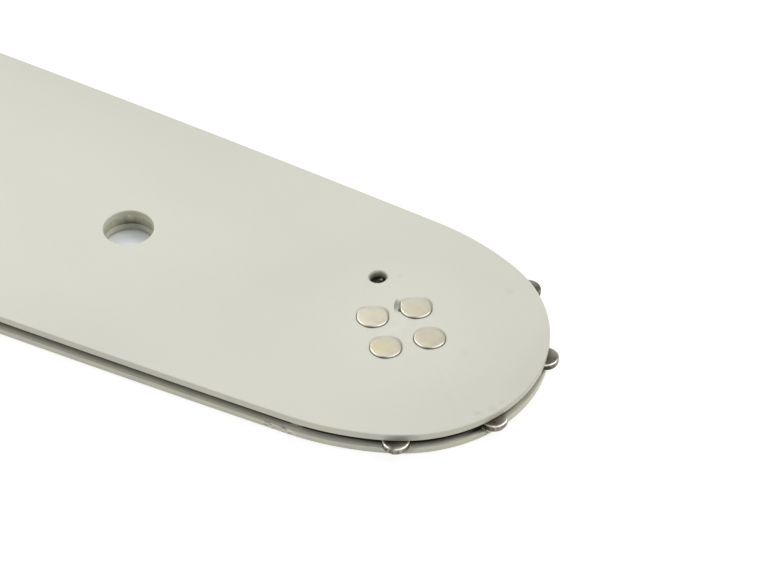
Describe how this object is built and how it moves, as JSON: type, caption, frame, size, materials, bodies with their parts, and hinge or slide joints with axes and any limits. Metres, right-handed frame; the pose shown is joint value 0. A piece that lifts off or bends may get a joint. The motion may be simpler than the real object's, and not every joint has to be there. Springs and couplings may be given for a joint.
{
  "type": "chainsaw guide bar",
  "caption": "Laminated chainsaw guide bar: two painted side plates over a narrower core, with a roller-bearing sprocket riveted into its round nose.",
  "frame": {"origin": "centre of the stud slot, on the lower face, where the saw's bar pad presses", "axes": "+X towards the nose, +Z through the thickness, up as the bar lies"},
  "size_m": [0.4089, 0.0588, 0.0046],
  "materials": {
    "plate_paint": "satin grey-green paint",
    "core_paint": "thin satin paint over ground steel",
    "rivet_steel": "bare, pressed, warm grey",
    "sprocket_steel": "bare hardened steel with bright bevels",
    "bearing_steel": "ground and greased"
  },
  "bodies": {
    "bar": {"lower_side_plate": "plate_paint", "core_plate": "core_paint", "upper_side_plate": "plate_paint", "bearing_hub": "bearing_steel", "nose_rivets": "rivet_steel"},
    "sprocket": {"nose_sprocket": "sprocket_steel"},
    "rollers": {"roller_01": "bearing_steel", "roller_02": "bearing_steel", "roller_03": "bearing_steel", "roller_04": "bearing_steel", "roller_05": "bearing_steel", "roller_06": "bearing_steel", "roller_07": "bearing_steel", "roller_08": "bearing_steel", "roller_09": "bearing_steel", "roller_10": "bearing_steel", "roller_11": "bearing_steel", "roller_12": "bearing_steel", "roller_13": "bearing_steel", "roller_14": "bearing_steel", "roller_15": "bearing_steel", "roller_16": "bearing_steel", "roller_17": "bearing_steel", "roller_18": "bearing_steel", "roller_19": "bearing_steel", "roller_20": "bearing_steel", "roller_21": "bearing_steel"}
  },
  "joints": [
    {"name": "sprocket_spin", "type": "hinge", "parent": "bar", "child": "sprocket", "pos_m": [0.34, 0, 0.002], "axis": [0, 0, 1], "continuous": true},
    {"name": "roller_orbit", "type": "hinge", "parent": "bar", "child": "rollers", "pos_m": [0.34, 0, 0.002], "axis": [0, 0, 1], "continuous": true}
  ],
  "couplings": [
    {"joint": "roller_orbit", "follows": "sprocket_spin", "ratio": 0.57143}
  ]
}
